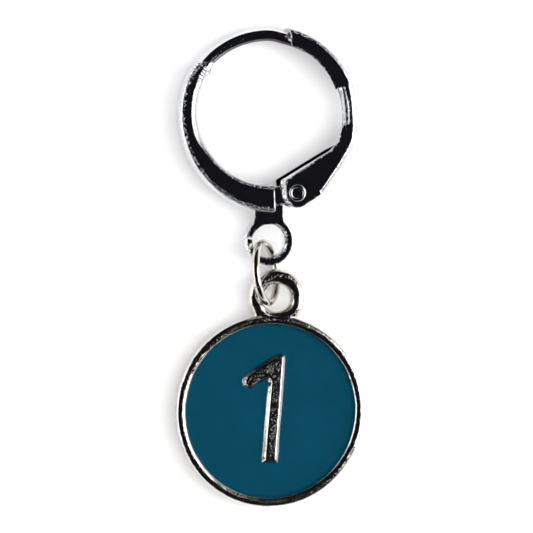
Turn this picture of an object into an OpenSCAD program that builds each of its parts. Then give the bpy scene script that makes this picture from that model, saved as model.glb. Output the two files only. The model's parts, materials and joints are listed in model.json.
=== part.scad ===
// Stitch marker lying flat: a hinged hoop that snaps shut round a needle or a stitch, a jump ring, and a
// cast disc charm filled with enamel. X runs to the right, Y towards the ear wire at the top of the hoop,
// and Z up from the table. The origin is the centre of the hoop, at the level of the table.

/* [Hoop] */
// Outer radius of the hoop's arm
hoop_r = 6; // [5.5:0.05:8]
// How much the arm's outer edge leaves the round, outwards near its top and inwards near its foot
arm_oval = 0.18; // [0:0.01:0.2]
// Direction where the arm bulges most
arm_oval_angle = 132; // [125:1:140]
// Width of the arm at the side of the hoop, from its spine to its inner edge
arm_w = 1.26; // [1.2:0.02:1.5]
// How far the centre of the arm's inner edge sits above the hoop's centre
arm_shift = 0.53; // [0.4:0.01:0.6]
// Depth of the folded channels, from face to face
channel_depth = 1.95; // [1.85:0.05:2.6]
// Thickness of the sheet that the arm and the lever are folded from
sheet_t = 0.28; // [0.22:0.01:0.3]
// Depth of the arm where the ear wire is soldered in
arm_tip_depth = 1.5; // [1.4:0.05:1.8]
// Direction of the arm's upper end, in degrees from +X
arm_top_angle = 141; // [135:1:150]
// Direction of the arm's lower end, in degrees from +X
arm_foot_angle = 273.4; // [271:0.1:273.6]
// Bend radius outside the arm's folds
arm_fold_r = 0.45; // [0.4:0.01:0.6]
// Rounding of the channels' lips
lip_r = 0.2; // [0.1:0.01:0.2]

/* [Ear wire] */
// Diameter of the ear wire
wire_d = 0.8; // [0.6:0.05:0.85]
// How far the middle of the ear wire lies in from the hoop's outer edge
wire_inset = 0.58; // [0.55:0.01:0.65]
// Direction of the wire's free tip, inside the lever's cup
wire_tip_angle = 62; // [55:1:70]
// How far the wire reaches down inside the arm, in degrees
wire_root_turn = 11; // [6:1:20]
// Length of the solder collar on the wire
solder_len = 0.55; // [0.3:0.05:0.8]
// Radius of the lump of solder on the outer side of the collar
solder_lump_r = 0.5; // [0.4:0.02:0.54]

/* [Lever] */
// Width of the cup's cheeks at the side of the hoop
cup_w = 1.35; // [1.3:0.01:1.5]
// How far the opening's centre sits above the hoop's centre
opening_shift = 0.45; // [0.3:0.05:0.6]
// Gap between the ear wire and the lever's spine at the cup's mouth
wire_gap = 0.03; // [0.02:0.005:0.1]
// How far the centre of that curve sits above the hoop's centre
lever_shift = 0.18; // [0.17:0.01:0.3]
// Direction of the cup's open end
cup_top_angle = 77; // [74:1:82]
// Direction of the step where the cup's cheeks end
cup_foot_angle = 22.3; // [20:0.1:35]
// Direction of the step where the lower cheeks begin
cheek_top_angle = -4; // [-8:1:4]
// Radial width that is left at the neck
neck_w = 0.74; // [0.7:0.02:0.9]
// Bend radius outside the lever's folds
lever_fold_r = 0.42; // [0.38:0.01:0.5]
// Direction where the spine leaves the round and runs nearly straight
spine_bend_angle = -14; // [-18:1:-10]
// Bottom end of the spine, measured from the hinge
spine_foot = [1.88, -0.06];
// How far the spine keeps its direction past the bend
spine_lead = 0.9; // [0.7:0.05:1.1]
// Radius of the round heel about the hinge
heel_r = 0.98; // [0.94:0.01:1.02]
// Corner of the heel that faces the arm, measured from the hinge
heel_corner = [-1.05, 0.8];
// Direction where the straight edge of the cheeks meets the opening, seen from the opening's centre
cheek_edge_angle = -31.7; // [-34:0.1:-29]
// Direction of the knee above that edge, seen from the opening's centre
cheek_knee_angle = -19.7; // [-23:0.1:-17]
// How far the cheeks lie back from the opening above the knee
cheek_set = 0.18; // [0.1:0.01:0.25]

/* [Hinge] */
// Direction of the hinge from the opening's centre
hinge_angle = -71.4; // [-73:0.1:-70]
// Distance of the hinge's centre from the opening's edge
hinge_cover = 0.8; // [0.76:0.01:0.86]
// Outer radius of the rivet's shank
rivet_r = 0.42; // [0.36:0.01:0.46]
// Radius of the hole down the middle of the rivet
rivet_bore_r = 0.3; // [0.2:0.01:0.3]
// Outer radius of the rivet's rolled heads
rivet_head_r = 0.56; // [0.54:0.01:0.7]
// Height of a rivet head
rivet_head_h = 0.2; // [0.12:0.01:0.24]
// Radius round the rivet of the tongue's eye
eye_r = 0.78; // [0.66:0.01:0.85]
// Running gap between the shank and the lever, and under the heads
run_gap = 0.03; // [0.02:0.005:0.05]
// Gap on each side of the tongue
side_gap = 0.05; // [0.04:0.01:0.1]

/* [Hanging ring] */
// Thickness of the flat hanging ring
ring_t = 0.8; // [0.6:0.05:0.9]
// Outer radius of the hanging ring
ring_r = 1.6; // [1.5:0.05:1.8]
// Radius of the hanging ring's hole
ring_hole_r = 1.08; // [1.04:0.01:1.2]
// Distance of the ring's centre below the hoop's outer edge
ring_drop = 1.86; // [1.8:0.01:2]
// Width of the neck where it leaves the arm
neck_strip_w = 1.92; // [1.7:0.02:2]
// Width of the slit where the ring was bent shut
ring_slit = 0.08; // [0.05:0.01:0.15]
// Direction of the slit from the ring's centre
ring_slit_angle = 171.5; // [160:0.5:180]
// Direction of the tongue's end inside the arm
tongue_end_angle = 250; // [245:1:258]

/* [Lever spring] */
// Thickness of the leaf spring
leaf_t = 0.12; // [0.08:0.01:0.14]
// Direction of the leaf's held end inside the arm
leaf_end_angle = 236; // [230:1:244]
// Width of the leaf's free tip, which bears on both cheeks
leaf_tip_w = 1.85; // [1.7:0.05:1.9]
// Gap between the leaf's tip and the heel
leaf_gap = 0.05; // [0.03:0.01:0.08]
// How far the leaf lies back from the arm's lips
leaf_set = 0.15; // [0.1:0.01:0.2]

/* [Jump ring] */
// Diameter of the jump ring's wire
jump_wire_d = 0.5; // [0.4:0.02:0.54]
// Radius of the jump ring at the middle of its wire
jump_r = 1.95; // [1.9:0.01:2]
// How far the jump ring leans over from upright, in degrees
jump_lean = 32; // [29:1:34]
// How far the jump ring is turned, clockwise seen from above
jump_turn = -7.8; // [-9:0.2:-6]
// Centre of the jump ring, measured from the hanging ring's centre
jump_offset = [-0.26, -2.03];
// Width of the slit in the jump ring
jump_slit = 0.06; // [0.03:0.01:0.12]

/* [Charm] */
// Radius of the charm's disc
charm_r = 6.2; // [6:0.02:7]
// How much smaller the disc's radius is at the back
charm_draft = 0.3; // [0.1:0.02:0.4]
// Thickness of the charm at its rim
charm_t = 1.7; // [1.6:0.05:2]
// Width of the raised rim
rim_w = 0.54; // [0.46:0.01:0.7]
// Thickness of the metal under the enamel
floor_t = 0.8; // [0.6:0.05:0.95]
// How far the enamel lies below the rim
enamel_drop = 0.45; // [0.3:0.01:0.5]
// Outer radius of the cast loop
loop_r = 1.9; // [1.8:0.02:2]
// Radius of the loop's hole
loop_hole_r = 0.9; // [0.88:0.01:1]
// How far the top of the loop lies below the top of the rim
loop_sink = 0.05; // [0:0.01:0.1]
// Distance between the loop's hole and the disc's edge
loop_gap = 0.3; // [0.2:0.01:0.34]
// Centre of the loop, measured from the hanging ring's centre
loop_offset = [0.6, -3.7];
// How far the charm is turned, clockwise seen from above
charm_turn = -3.6; // [-6:0.2:0]

/* [Numeral] */
// Width of the numeral's upright
stroke_w = 0.96; // [0.7:0.02:1.2]
// How much wider the upright is at its foot
stroke_flare = 0.1; // [0:0.01:0.2]
// Height of the numeral
numeral_h = 7.1; // [6:0.1:8]
// How far the flag reaches to the left of the upright
flag_reach = 1.76; // [1.2:0.02:2]
// How far the flag's tip lies below the top
flag_fall = 1.78; // [1.4:0.02:2]
// Thickness of the flag at its tip
flag_w = 0.6; // [0.4:0.02:0.8]
// How far the numeral stands up above the enamel
numeral_rise = 0.2; // [0.1:0.01:0.3]
// How far the numeral's middle sits above the disc's centre
numeral_lift = 0.17; // [0:0.01:0.3]

/* [Hidden] */
$fn = 96;

// The rivet's lower head touches the table, so the channels sit this much above it.
hoop_z = rivet_head_h + run_gap;
mid_z = hoop_z + channel_depth / 2;
top_z = hoop_z + channel_depth;
arm_inner_r = hoop_r - arm_w;
opening_r = hoop_r - cup_w;
opening = [0, opening_shift];
wire_path_r = hoop_r - wire_inset;
lever_r = wire_path_r + wire_d / 2 + wire_gap + sheet_t - lever_shift * sin(cup_top_angle);
lever_centre = [0, lever_shift];
hinge = opening + polar(opening_r + hinge_cover, hinge_angle);
ring_centre = [0, -hoop_r - ring_drop];
loop_centre = ring_centre + loop_offset;
tongue_t = channel_depth - 2 * sheet_t - 2 * side_gap;
tongue_r = arm_r(tongue_end_angle) - sheet_t - run_gap;
// Past this radius the tongue is only as thick as the ring, to clear the arm's folds.
fold_clear = 0.7;
tongue_thick_r = tongue_r - fold_clear * (arm_fold_r - sheet_t);
leaf_r = arm_inner_r - arm_shift + leaf_t + leaf_set;
// The leaf lies this much above the hinge, and its tip ends just short of the heel there.
leaf_rise = -leaf_r - hinge[1];
leaf_tip_x = hinge[0] - sqrt(pow(heel_r, 2) - pow(leaf_rise, 2)) - 2 * leaf_gap;
jump_z = jump_r * cos(jump_lean) + jump_wire_d / 2;
charm_centre = [0, -charm_r - loop_hole_r - loop_gap];
neck_root = 0.35;
loop_side = (loop_r - loop_hole_r) / 2;
loop_z = charm_t - loop_side - loop_sink;
enamel_z = charm_t - enamel_drop;
arm_steps = 30;
foot_round = [0.1, -0.3];
// Directions, seen from the rivet, between which the heel is round.
heel_start_angle = -62;
heel_stop_angle = 185;
// Directions, seen from the rivet, in which the tongue runs into the eye.
eye_top_angle = 120;
eye_foot_angle = -110;
// How far the tongue's straight part reaches past the leaf's tip and past the neck's middle.
tongue_past = 0.1;
// The collar of solder starts this much inside the arm's end, and thins to this much over the wire.
collar_set = 0.06;
collar_end = 0.03;
lump_taper = 0.7;
tip_round = 0.01;
// The curved part of the leaf ends this far past the arm's foot, and its wide tip starts here.
leaf_past = 0.1;
leaf_wide_from = 0.02;
// The cut of the jump ring points this way on the ring.
jump_slit_angle = 200;
// The loop is cut off in the rim, this share of the rim's width in from the disc's edge.
loop_root = 0.7;
// Corners of the figure one: left edge of its stem, slope of its top, and the round end of its flag.
stem_left = -0.17;
top_slope = [0.5, 0.22, 0.28];
flag_end = [[0.36, 0.14], [0.66, 0.12]];
flag_under = [0.28, 0.36];
flag_root = [[0.1, 0.13], [0, -0.06]];
stem_spread = 0.05;
cup_steps = 10;
neck_steps = 6;
spine_steps = 8;
bend_steps = 4;
lip_steps = 2;
leaf_steps = 12;

function polar(r, a) = r * [cos(a), sin(a)];
// Distance from the origin, along direction a, to a circle of radius r whose centre is shifted up.
function reach(r, shift, a) = shift * sin(a) + sqrt(r * r - pow(shift * cos(a), 2));
// Outer radius of the arm in direction a
function arm_r(a) = hoop_r + arm_oval * cos(2 * (a - arm_oval_angle));
function arc(c, r, a0, a1, n) = [for (i = [0 : n]) c + polar(r, a0 + (a1 - a0) * i / n)];

// Outline of a folded channel: first number inwards from its spine, second across its depth.
function channel_section(w, d, fold, t) = concat(
    arc([w - lip_r, d / 2 - lip_r], lip_r, 0, 90, lip_steps),
    arc([fold, d / 2 - fold], fold, 90, 180, bend_steps),
    arc([fold, fold - d / 2], fold, 180, 270, bend_steps),
    arc([w - lip_r, lip_r - d / 2], lip_r, -90, 0, lip_steps),
    [[w, t - d / 2]],
    arc([fold, fold - d / 2], fold - t, 270, 180, bend_steps),
    arc([fold, d / 2 - fold], fold - t, 180, 90, bend_steps),
    [[w, d / 2 - t]]);

// A folded channel along stations of [point on the spine, direction it faces, width, depth].
module channel(stations, fold, t) {
    rings = [for (s = stations) [for (p = channel_section(s[2], s[3], fold, t))
        let (q = s[0] - p[0] * [cos(s[1]), sin(s[1])]) [q[0], q[1], mid_z + p[1]]]];
    m = len(rings[0]);
    n = len(rings);
    sides = [for (i = [0 : n - 2]) for (j = [0 : m - 1]) each [
        [i * m + j, i * m + (j + 1) % m, (i + 1) * m + (j + 1) % m],
        [i * m + j, (i + 1) * m + (j + 1) % m, (i + 1) * m + j]]];
    first = [for (f = channel_end()) [f[2], f[1], f[0]]];
    last = [for (f = channel_end()) [for (k = f) (n - 1) * m + k]];
    polyhedron([for (r = rings) each r], concat(first, sides, last));
}

// Triangles that close a channel's end, as numbers of its outline's points: a fan at each lip, and a strip
// between the outer and the inner side.
function channel_end() = let (
        outer = 2 * (lip_steps + bend_steps) + 3,
        inner = outer + 2 * bend_steps + 4,
        strip = [for (k = [lip_steps : lip_steps + 2 * bend_steps + 2])
            let (o = inner + lip_steps - k) [[k, k + 1, o], [k + 1, o - 1, o]]])
    concat([for (k = [0 : lip_steps - 1]) [k, k + 1, inner]],
        [for (q = strip) each q],
        [for (k = [outer - lip_steps : outer - 1]) [k, k + 1, outer + 1]]);

function arm_depth(a) = let (k = min(1, (a - arm_top_angle) / 95))
    arm_tip_depth + (channel_depth - arm_tip_depth) * k;
arm_stations = [for (i = [0 : arm_steps])
    let (a = arm_top_angle + (arm_foot_angle - arm_top_angle) * i / arm_steps)
    [polar(arm_r(a), a), a, arm_r(a) - reach(arm_inner_r, arm_shift, a), arm_depth(a)]];

// The lever's upper curve, at direction a from its own centre.
function lever_arc(a) = lever_centre + polar(lever_r, a);
function cup_width(a) = let (p = lever_arc(a), b = atan2(p[1], p[0]))
    norm(p) - reach(opening_r, opening_shift, b);
bend_point = lever_arc(spine_bend_angle);
bend_guide = bend_point + spine_lead * [sin(spine_bend_angle), -cos(spine_bend_angle)];
spine_end = hinge + spine_foot;
// A curve with one guide point, and the direction square to it.
function spine_at(k) = (1 - k) * (1 - k) * bend_point + 2 * k * (1 - k) * bend_guide + k * k * spine_end;
function spine_dir(k) = let (v = (1 - k) * (bend_guide - bend_point) + k * (spine_end - bend_guide))
    atan2(v[0], -v[1]);
// The cup ends and the neck begins this many degrees apart.
step_turn = 0.05;
lever_stations = concat(
    [for (i = [0 : cup_steps]) let (a = cup_top_angle + (cup_foot_angle - cup_top_angle) * i / cup_steps)
        [lever_arc(a), a, cup_width(a), channel_depth]],
    [for (i = [0 : neck_steps])
        let (a = cup_foot_angle - step_turn
            + (spine_bend_angle - cup_foot_angle + step_turn) * i / neck_steps)
        [lever_arc(a), a, neck_w, channel_depth]],
    [for (i = [1 : spine_steps]) let (k = i / spine_steps)
        [spine_at(k), spine_dir(k), neck_w, channel_depth]]);

// Flat shape of one lower cheek of the lever.
module cheek_outline() {
    back = opening_r + cheek_set;
    foot = spine_end - polar(lever_fold_r, spine_dir(1));
    translate(hinge) circle(heel_r);
    polygon(concat(
        [hinge + heel_corner, opening + polar(opening_r, cheek_edge_angle),
            opening + polar(back, cheek_knee_angle),
            polar(reach(back, opening_shift, cheek_top_angle), cheek_top_angle)],
        [for (i = [0 : 3]) let (a = cheek_top_angle + (spine_bend_angle - cheek_top_angle) * i / 3)
            lever_arc(a) - polar(lever_fold_r, a)],
        [for (i = [1 : 6]) let (k = i / 6) spine_at(k) - polar(lever_fold_r, spine_dir(k))],
        [foot + foot_round, hinge + polar(heel_r, heel_start_angle),
            hinge + polar(heel_r, heel_stop_angle)]));
}

module hoop_arm() {
    color("silver") difference() {
        channel(arm_stations, arm_fold_r, sheet_t);
        // Seat of the ear wire in the spine
        wire_rod(arm_top_angle - 1, arm_top_angle + wire_root_turn + 1);
        // Slot that lets the hanging ring's neck out through the spine
        translate([-neck_strip_w / 2 - side_gap, -hoop_r - 1, mid_z - ring_t / 2 - side_gap])
            cube([neck_strip_w + 1, 1 + sheet_t + 0.2, ring_t + 2 * side_gap]);
    }
}

// Stretch of the ear wire between two directions
module wire_rod(from, to) {
    translate([0, 0, mid_z]) rotate([0, 0, from]) rotate_extrude(angle = to - from)
        translate([wire_path_r, 0]) circle(wire_d / 2);
}

module ear_wire() {
    color("silver") {
        wire_rod(wire_tip_angle, arm_top_angle + wire_root_turn);
        translate([each polar(wire_path_r, wire_tip_angle), mid_z]) sphere(wire_d / 2 - tip_round);
    }
}

// Collar of solder round the wire, with a lump on its outer side, drawn along the wire from the arm's end
module solder_joint() {
    collar_r = arm_tip_depth / 2 - collar_set;
    color("gainsboro") translate([each polar(wire_path_r, arm_top_angle), mid_z])
        rotate([0, 0, arm_top_angle - 90]) rotate([0, 90, 0]) difference() {
            union() {
                cylinder(h = solder_len, r1 = collar_r, r2 = wire_d / 2 + collar_end);
                translate([0, solder_lump_r / 2, 0]) cylinder(h = solder_len / 2, r1 = solder_lump_r,
                    r2 = solder_lump_r * lump_taper);
            }
            translate([0, 0, -1]) cylinder(h = solder_len + 2, r = wire_d / 2);
        }
}

// Flat shape of the tongue inside the arm, out to radius r
module tongue_band(r) {
    difference() {
        intersection() {
            circle(r);
            polygon([[0, 0], polar(2 * hoop_r, tongue_end_angle), [0, -2 * hoop_r]]);
        }
        circle(leaf_r);
    }
}

module hanger_strip() {
    color("silver") difference() {
        union() {
            // Tongue inside the arm, with its eye round the rivet
            translate([0, 0, mid_z - tongue_t / 2]) linear_extrude(tongue_t) {
                tongue_band(tongue_thick_r);
                polygon([[0, -leaf_r], [leaf_tip_x + tongue_past, -leaf_r],
                    hinge + polar(eye_r, eye_top_angle), hinge + polar(eye_r, eye_foot_angle),
                    [tongue_past, -tongue_thick_r], [0, -tongue_thick_r]]);
                translate(hinge) circle(eye_r);
            }
            // Thinner strip between the folds, the neck and the hanging ring
            translate([0, 0, mid_z - ring_t / 2]) linear_extrude(ring_t) {
                tongue_band(tongue_r);
                translate([-neck_strip_w / 2, ring_centre[1] + ring_hole_r])
                    square([neck_strip_w, ring_drop - ring_hole_r + sheet_t + neck_root]);
                translate(ring_centre) circle(ring_r);
            }
        }
        translate([each hinge, 0]) cylinder(h = top_z + 1, r = rivet_r);
        translate([each ring_centre, 0]) cylinder(h = top_z + 1, r = ring_hole_r);
        translate([each ring_centre, 0]) rotate([0, 0, ring_slit_angle])
            translate([0, -ring_slit / 2, 0]) cube([ring_r + 1, ring_slit, top_z]);
    }
}

module lever_spring() {
    foot = polar(hoop_r, arm_foot_angle);
    color("silver") {
        // Curved part on the tongue, running into a flat part
        translate([0, 0, mid_z - tongue_t / 2]) linear_extrude(tongue_t) polygon(concat(
            arc([0, 0], leaf_r, leaf_end_angle, 270, leaf_steps),
            [[foot[0] + leaf_past, -leaf_r], [foot[0] + leaf_past, leaf_t - leaf_r]],
            arc([0, 0], leaf_r - leaf_t, 270, leaf_end_angle, leaf_steps)));
        // Wide tip past the arm's end
        translate([foot[0] + leaf_wide_from, -leaf_r, mid_z - leaf_tip_w / 2])
            cube([leaf_tip_x - foot[0] - leaf_wide_from, leaf_t, leaf_tip_w]);
    }
}

module hinge_rivet() {
    roll = rivet_head_h / 2;
    half = channel_depth / 2 + run_gap;
    color("silver") translate([each hinge, mid_z]) rotate_extrude() {
        translate([rivet_bore_r, -half - rivet_head_h + roll])
            square([rivet_r - rivet_bore_r, 2 * (half + rivet_head_h - roll)]);
        for (side = [-1, 1]) translate([0, side * (half + roll)]) {
            translate([rivet_bore_r, -roll]) square([rivet_head_r - roll - rivet_bore_r, 2 * roll]);
            translate([rivet_head_r - roll, 0]) circle(roll);
        }
    }
}

module lever() {
    color("silver") difference() {
        union() {
            channel(lever_stations, lever_fold_r, sheet_t);
            for (z = [hoop_z, top_z - sheet_t])
                translate([0, 0, z]) linear_extrude(sheet_t) cheek_outline();
        }
        translate([each hinge, 0]) cylinder(h = top_z + 1, r = rivet_r + run_gap);
    }
}

module jump_ring() {
    color("silver") translate([each (ring_centre + jump_offset), jump_z])
        rotate([0, 0, -jump_turn]) rotate([0, 90 - jump_lean, 0])
        rotate([0, 0, jump_slit_angle]) rotate_extrude(angle = 360 - jump_slit / jump_r * 180 / PI)
        translate([jump_r, 0]) circle(jump_wire_d / 2);
}

// Plain figure one, drawn about the disc's centre
module numeral_outline() {
    foot = numeral_lift - numeral_h / 2;
    top = numeral_lift + numeral_h / 2;
    left = stem_left;
    right = left + stroke_w;
    flag_tip = [left - flag_reach, top - flag_fall];
    polygon(concat(
        [[right - stroke_flare / 2, foot], [right, top - top_slope[1]], [right - top_slope[0], top],
            [left, top - top_slope[2]], ([left, top] + flag_tip) / 2, flag_tip],
        [for (p = flag_end) flag_tip + [0, -flag_w] + p],
        [([left, top] + flag_tip) / 2 + [flag_under[0], -flag_w - flag_under[1]]],
        [for (p = flag_root) [left, top - flag_fall] + [-p[0], p[1]]],
        [[left - stroke_flare - stem_spread, foot]]));
}

module charm() {
    crest_r = rim_w / 2;
    color("silver") translate([each loop_centre, 0]) rotate([0, 0, charm_turn]) {
        translate([each charm_centre, 0]) {
            rotate_extrude() {
                polygon([[0, 0], [charm_r - charm_draft, 0], [charm_r, charm_t - crest_r],
                    [charm_r - rim_w, charm_t - crest_r], [charm_r - rim_w, floor_t], [0, floor_t]]);
                translate([charm_r - crest_r, charm_t - crest_r]) circle(crest_r);
            }
            translate([0, 0, floor_t / 2])
                linear_extrude(enamel_z + numeral_rise - floor_t / 2) numeral_outline();
        }
        // Cast loop, cut off where it runs through the rim
        difference() {
            translate([0, 0, loop_z]) rotate_extrude()
                translate([loop_hole_r + loop_side, 0]) circle(loop_side);
            translate([each charm_centre, 0]) cylinder(h = charm_t + 1, r = charm_r - rim_w * loop_root);
        }
    }
}

module enamel() {
    color("#01495f") translate([each loop_centre, 0]) rotate([0, 0, charm_turn])
        translate([each charm_centre, floor_t]) linear_extrude(enamel_z - floor_t) difference() {
            circle(charm_r - rim_w);
            numeral_outline();
        }
}

hoop_arm();
ear_wire();
solder_joint();
hanger_strip();
lever_spring();
hinge_rivet();
lever();
jump_ring();
charm();
enamel();
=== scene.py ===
# %% [markdown]
# # A stitch marker on a white table
#
# The object is a small hinged hoop, a jump ring and a cast disc filled with teal enamel. The shapes that
# work were drawn in OpenSCAD and come in as the frame. This notebook dresses them: every piece but the leaf
# spring is rebuilt as a finer mesh in the place that the frame gives, and all of them get the finish of the
# real thing.
#
# The frame could simply be shaded, but its curves are made of flat facets, and bright plating shows every
# facet. That is why the pieces are modelled again, to the same sizes but for a few tenths of a millimetre.

# %% Load the frame
import json
import math
import bmesh
import bpy
import numpy as np
from mathutils import Matrix, Vector, noise


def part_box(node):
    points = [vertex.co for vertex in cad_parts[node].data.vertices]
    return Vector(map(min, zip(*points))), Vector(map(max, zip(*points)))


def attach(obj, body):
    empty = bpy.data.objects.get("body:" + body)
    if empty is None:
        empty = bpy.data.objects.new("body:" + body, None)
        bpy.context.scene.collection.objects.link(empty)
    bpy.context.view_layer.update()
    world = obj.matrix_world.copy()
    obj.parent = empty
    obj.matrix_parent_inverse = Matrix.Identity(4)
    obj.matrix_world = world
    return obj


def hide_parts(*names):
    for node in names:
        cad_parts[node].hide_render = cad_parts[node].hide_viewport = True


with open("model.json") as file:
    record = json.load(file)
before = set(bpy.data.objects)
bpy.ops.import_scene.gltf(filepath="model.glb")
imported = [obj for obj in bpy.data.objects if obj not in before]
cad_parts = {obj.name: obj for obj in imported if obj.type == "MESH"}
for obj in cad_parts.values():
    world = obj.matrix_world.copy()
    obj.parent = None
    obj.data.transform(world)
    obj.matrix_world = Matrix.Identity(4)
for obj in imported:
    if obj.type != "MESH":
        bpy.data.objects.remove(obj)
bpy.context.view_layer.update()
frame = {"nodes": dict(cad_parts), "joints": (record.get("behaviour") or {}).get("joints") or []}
MM = 0.001
print("nodes:", sorted(frame["nodes"]))

# %% [markdown]
# ## Places taken from the frame
#
# A maker measures a part once and works from that. The joints give the hinge and the two points that the
# rings swing about, and the box of the arm gives the levels. Everything here is turned into millimetres,
# because at this size millimetres are easier to read than metres. Named angles are in degrees.

# %% Places and levels
joint = {j["name"]: [v / MM for v in j["pos_m"]] for j in frame["joints"]}
box = {n: [[v / MM for v in corner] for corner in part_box(n)] for n in frame["nodes"]}
HINGE = Vector(joint["lever_hinge"][:2])
RING_CENTRE = Vector(joint["jump_ring_swing"][:2])
LOOP_CENTRE = Vector(joint["charm_swing"][:2])
BOTTOM_Z, TOP_Z = box["hoop_arm"][0][2], box["hoop_arm"][1][2]
MID_Z = (BOTTOM_Z + TOP_Z) / 2
DEPTH = TOP_Z - BOTTOM_Z
HOOP_R = 6.0
SHEET = 0.28
RUN_GAP = 0.03
print("depth of the channels", round(DEPTH, 3), "hinge", tuple(round(v, 3) for v in HINGE))

# %% [markdown]
# ## The camera
#
# The photograph looks almost straight down, from a little to the left and a little towards the ear wire. A
# wide lens close up would bend the hoop out of round, so a long lens from far off is used, as a catalogue
# photographer would. The view is set by a direction and by the width of table that fills the picture.

# %% Camera
VIEW_FROM = Vector((-0.223, 0.049, 0.974)).normalized()
VIEW_AT = Vector((0.2, -9.59, 0.0))
VIEW_WIDTH = 34.85
VIEW_DISTANCE = 290

camera_data = bpy.data.cameras.new("camera")
camera_data.sensor_width = 36
camera_data.lens = camera_data.sensor_width * VIEW_DISTANCE / VIEW_WIDTH
camera_data.clip_start = 0.01
camera_data.clip_end = 10
camera = bpy.data.objects.new("camera", camera_data)
bpy.context.scene.collection.objects.link(camera)
back = VIEW_FROM
right = Vector((0, 1, 0)).cross(back).normalized()
up = back.cross(right)
camera.matrix_world = Matrix.Translation((VIEW_AT + back * VIEW_DISTANCE) * MM) @ Matrix(
    (right, up, back)).transposed().to_4x4()
bpy.context.scene.camera = camera
print("lens", round(camera_data.lens, 1), "mm")

# %% [markdown]
# ## Points, outlines and skins
#
# Most of these parts are a section carried along a path, or a flat shape given a thickness. Both are rings
# of points that are joined into a skin, so one helper does for nearly all of them. Blender can carry a
# section along a curve by itself, but the width and the depth of these channels change on the way, each in
# its own measure.

# %% Points and skins
def polar(r, degrees, centre=(0, 0)):
    """A point at a distance and an angle from a centre."""
    a = math.radians(degrees)
    return Vector((centre[0] + r * math.cos(a), centre[1] + r * math.sin(a)))


def spread(a, b, n):
    """Even values from a to b, in n steps."""
    return [a + (b - a) * i / n for i in range(n + 1)]


def round_points(centre, r, a, b, n):
    """Points along an arc, from angle a to angle b."""
    return [polar(r, t, centre) for t in spread(a, b, n)]


def new_object(name, bm):
    """Makes an object of a mesh that is being built, with its faces looking outwards."""
    bmesh.ops.recalc_face_normals(bm, faces=bm.faces[:])
    mesh = bpy.data.meshes.new(name)
    bm.to_mesh(mesh)
    bm.free()
    obj = bpy.data.objects.new(name, mesh)
    bpy.context.scene.collection.objects.link(obj)
    return obj


def smooth(obj, sharp_degrees=50):
    """Shades a mesh as round, except at edges that are sharper than an angle."""
    mesh = obj.data
    mesh.polygons.foreach_set("use_smooth", [True] * len(mesh.polygons))
    mesh.set_sharp_from_angle(angle=math.radians(sharp_degrees))
    return obj


def skin(bm, rings, loop=False):
    """Adds a closed skin through rings of points in millimetres. A loop has no ends."""
    made = [[bm.verts.new(Vector(p) * MM) for p in ring] for ring in rings]
    n = len(made[0])
    pairs = list(zip(made, made[1:])) + ([(made[-1], made[0])] if loop else [])
    for a, b in pairs:
        for i in range(n):
            bm.faces.new((a[i], a[(i + 1) % n], b[(i + 1) % n], b[i]))
    if not loop:
        bm.faces.new(made[0])
        bm.faces.new(reversed(made[-1]))


print("top of the hoop's round:", tuple(round(v, 2) for v in polar(HOOP_R, 90)))

# %% [markdown]
# ## The section of a folded strip
#
# Both sides of the hoop are strips folded into a channel that is open towards the middle. A box with a
# groove would look too sharp, so the section is drawn once with real bend radii, and is then carried along
# a path.

# %% Channel section
LEAST_BEND = 0.02


def channel_section(width, depth, fold, lip, sheet=SHEET, curl=90, steps=8, short=0.0):
    """A folded channel as (inwards, across): outside from lip to lip, then back along the inside.
    fold and lip are bend radii, curl is how many degrees the lips are turned in, and short is how much
    narrower the side on the table is."""
    h = depth / 2
    end = 90 - curl
    inner, lip_in = fold - sheet, max(lip - sheet, LEAST_BEND)
    low = width - lip - short
    outside = (
        round_points((width - lip, h - lip), lip, end, 90, steps)
        + [Vector((fold + (width - lip - fold) * k, h)) for k in (0.8, 0.6, 0.4, 0.2)]
        + round_points((fold, h - fold), fold, 90, 180, steps)
        + round_points((fold, fold - h), fold, 180, 270, steps)
        + round_points((low, lip - h), lip, -90, -end, steps))
    inside = (
        round_points((low, lip - h), lip_in, -end, -90, 5)
        + round_points((fold, fold - h), inner, 270, 180, steps)
        + round_points((fold, h - fold), inner, 180, 90, steps)
        + round_points((width - lip, h - lip), lip_in, 90, end, 5))
    return outside + inside


def sweep_channel(bm, stations):
    """stations: (point on the spine, direction it faces, section, slope of the cut)."""
    rings = []
    for point, degrees, section, slope in stations:
        out, along = polar(1, degrees), polar(1, degrees - 90)
        rings.append([(*(point - out * p[0] + along * p[0] * slope), MID_Z + p[1]) for p in section])
    skin(bm, rings)


print("sheet:", SHEET, "mm thick; channels: up to", round(DEPTH, 3), "mm deep")

# %% [markdown]
# ## Where the sheet is bent
#
# Plating is rougher along a fold than on a flat, and the inside of a deep channel is coloured dark as
# painted shade. So each point of a folded piece carries two numbers that the finishes read. They could be
# painted on by hand, but they follow from which way the surface looks, so they are worked out.

# %% Marks on the sheet
FOLD_GAIN = 1.5
# Where the painted shade inside a channel lies
PAINTED_SHADE_FROM, PAINTED_SHADE_OVER = -0.5, 0.4
LOOKS_IN, LIP_SHARE, LIP_EDGE = 0.4, 0.7, 0.03


def read_points(mesh):
    """The normals and the places of a mesh's points, each as rows of x, y and z."""
    normals, spots = np.empty(len(mesh.vertices) * 3), np.empty(len(mesh.vertices) * 3)
    mesh.vertex_normals.foreach_get("vector", normals)
    mesh.vertices.foreach_get("co", spots)
    return normals.reshape(-1, 3), spots.reshape(-1, 3)


def store(mesh, name, values):
    """Keeps a number on every point of a mesh, where a material can read it."""
    mesh.attributes.new(name, "FLOAT", "POINT").data.foreach_set("value", values)


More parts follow.
